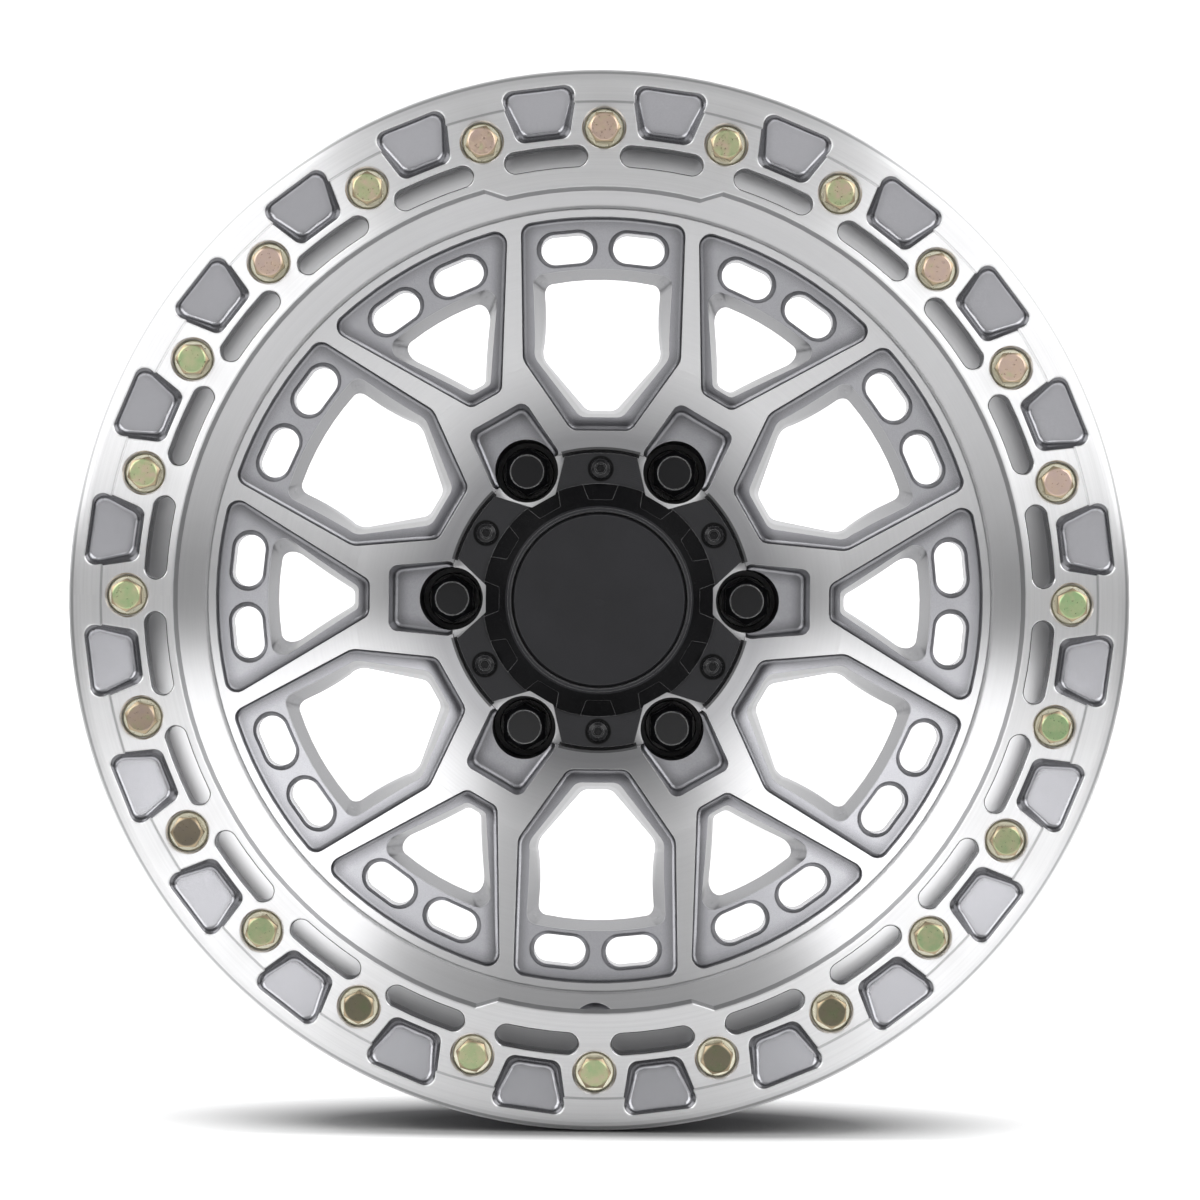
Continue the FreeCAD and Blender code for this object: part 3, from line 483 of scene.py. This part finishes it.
def plane(name, width, depth, matrix, material):
    """A flat part of the stage."""
    w, d = width / 2, depth / 2
    mesh = bpy.data.meshes.new(name)
    mesh.from_pydata([(-w, -d, 0), (w, -d, 0), (w, d, 0), (-w, d, 0)], [], [(0, 1, 2, 3)])
    made = bpy.data.objects.new(name, mesh)
    made.matrix_world = matrix
    mesh.materials.append(material)
    scene.collection.objects.link(made)


def pale_material(name, tone, lift):
    """A pale surface that shows as white where lift is one, with a painted shadow darkening its colour where
    shadow is given.
    """
    s = Shader(name)
    coords = s.node("ShaderNodeTexCoord")
    speck = s.noise(coords.outputs["Object"], 30.0, 3.0)
    colour = s.colour(speck, [(0.3, grey(tone, 0.0)), (0.7, grey(tone + 0.02, 0.0))])
    strength, shadow = lift(s, coords.outputs["Object"])
    # Painted shadow blended into the colour
    base = s.surface(base_color=s.blend(shadow, colour, grey(0.03, 0.0)), roughness=0.7)
    path = s.node("ShaderNodeLightPath")
    seen = s.math("MAXIMUM", path.outputs["Is Camera Ray"], path.outputs["Is Transmission Ray"])
    seen = s.math("MAXIMUM", seen, path.outputs["Is Glossy Ray"])
    glow = s.node("ShaderNodeEmission")
    s.put(glow.inputs["Strength"], s.mul(seen, strength))
    both = s.node("ShaderNodeAddShader")
    s.put(both.inputs[0], base.outputs[0])
    s.put(both.inputs[1], glow.outputs[0])
    return s.finish(both)


def floor_lift(s, place):
    """Most behind the wheel, none out at the sides or under it, where its shadow lies and is deepened by a
    painted shadow in the floor's colour.
    """
    parts = s.node("ShaderNodeSeparateXYZ")
    s.put(parts.inputs[0], place)
    x, y = parts.outputs[0], s.add(parts.outputs[1], 0.115)
    away = s.math("SQRT", s.add(s.mul(x, x), s.mul(s.mul(y, y), 7.0)))
    ahead = s.ramp(parts.outputs[1], -0.60, -0.34)
    spread = s.sub(s.math("ABSOLUTE", x), s.mul(s.math("MAXIMUM", y, 0.0), 0.2))
    middle = s.ramp(spread, 0.40, 0.75, 1.0, 0.0)
    under = s.ramp(parts.outputs[1], -0.180, -0.148)
    open_floor = s.sub(1.0, s.mul(under, s.ramp(away, 0.12, 0.25, 1.0, 0.0)))
    strength = s.mul(s.mul(ahead, middle), s.mul(open_floor, 0.75))
    close = s.node("ShaderNodeAmbientOcclusion", samples=4)
    close.inputs["Distance"].default_value = 0.16
    # Painted shadow: the floor's colour darkened near the wheel's foot, where it is occluded
    shadow = s.mul(s.ramp(away, 0.08, 0.24, 0.95, 0.0), s.ramp(close.outputs["AO"], 0.45, 0.95, 1.0, 0.0))
    shadow = s.mul(shadow, under)
    return strength, shadow


def wall_lift(s, place):
    """White all over, with no shadow."""
    return 1.0, 0.0


PALE = 0.60
floor_place = Matrix.Translation((0, 0, FLOOR))
plane("floor", 40.0, 40.0, floor_place, pale_material("pale_floor", PALE, floor_lift))
wall_place = Matrix.Translation((0, 3.2, 1.5)) @ Matrix.Rotation(math.radians(90), 4, "X")
plane("backdrop", 10.0, 6.0, wall_place, pale_material("pale_backdrop", PALE, wall_lift))


def softbox(name, azimuth, reach, near, far, width, radiance):
    """A long panel beside the spin axis, at an angle about it, from near to far in front of the wheel."""
    lamp = bpy.data.lights.new(name, "AREA")
    lamp.shape = "RECTANGLE"
    lamp.size = width
    lamp.size_y = far - near
    lamp.energy = radiance * math.pi * width * (far - near)
    made = bpy.data.objects.new(name, lamp)
    turn = math.radians(azimuth)
    inward = Vector((-math.cos(turn), 0, -math.sin(turn)))
    along = Vector((0, 1, 0))
    across = along.cross(-inward)
    made.matrix_world = Matrix((across, along, -inward)).transposed().to_4x4()
    made.location = -inward * reach + Vector((0, -(near + far) / 2, 0))
    scene.collection.objects.link(made)


PANEL = {"reach": 1.25, "near": -0.1, "far": 4.6, "width": 1.15, "radiance": 2.45}
softbox("softbox_right", 33.0, **PANEL)
softbox("softbox_left", 147.0, **PANEL)

# A plain grey studio, darkest at the horizon: places from the foot to the zenith, and their tones
STUDIO = [(0.0, 0.50), (0.40, 0.45), (0.47, 0.19), (0.56, 0.19), (0.64, 0.48),
          (0.74, 0.60), (0.88, 0.64), (1.0, 0.50)]
world = bpy.data.worlds.new("studio")
scene.world = world
world.use_nodes = True
tree = world.node_tree
tree.nodes.clear()
coords = tree.nodes.new("ShaderNodeTexCoord")
parts = tree.nodes.new("ShaderNodeSeparateXYZ")
shades = tree.nodes.new("ShaderNodeValToRGB")
lift = tree.nodes.new("ShaderNodeMapRange")
lift.inputs["From Min"].default_value = -1.0
tree.links.new(coords.outputs["Generated"], parts.inputs[0])
tree.links.new(parts.outputs["Z"], lift.inputs["Value"])
tree.links.new(lift.outputs["Result"], shades.inputs[0])
while len(shades.color_ramp.elements) < len(STUDIO):
    shades.color_ramp.elements.new(0.5)
for element, (at, tone) in zip(shades.color_ramp.elements, STUDIO):
    element.position = at
    element.color = (tone, tone, tone, 1.0)
studio = tree.nodes.new("ShaderNodeBackground")
tree.links.new(shades.outputs[0], studio.inputs["Color"])
result = tree.nodes.new("ShaderNodeOutputWorld")
tree.links.new(studio.outputs[0], result.inputs["Surface"])

# Square in front, with the slight turn of the wheel in the photograph
TURN = -0.6
lens = bpy.data.cameras.new("camera")
lens.sensor_width = 36.0
lens.lens = 103.8
lens.clip_end = 50.0
camera = bpy.data.objects.new("camera", lens)
camera.location = (0.0003, -1.693, 0.0)
camera.rotation_euler = (math.radians(90), math.radians(TURN), 0)
scene.collection.objects.link(camera)
scene.camera = camera
scene.view_settings.view_transform = "Standard"
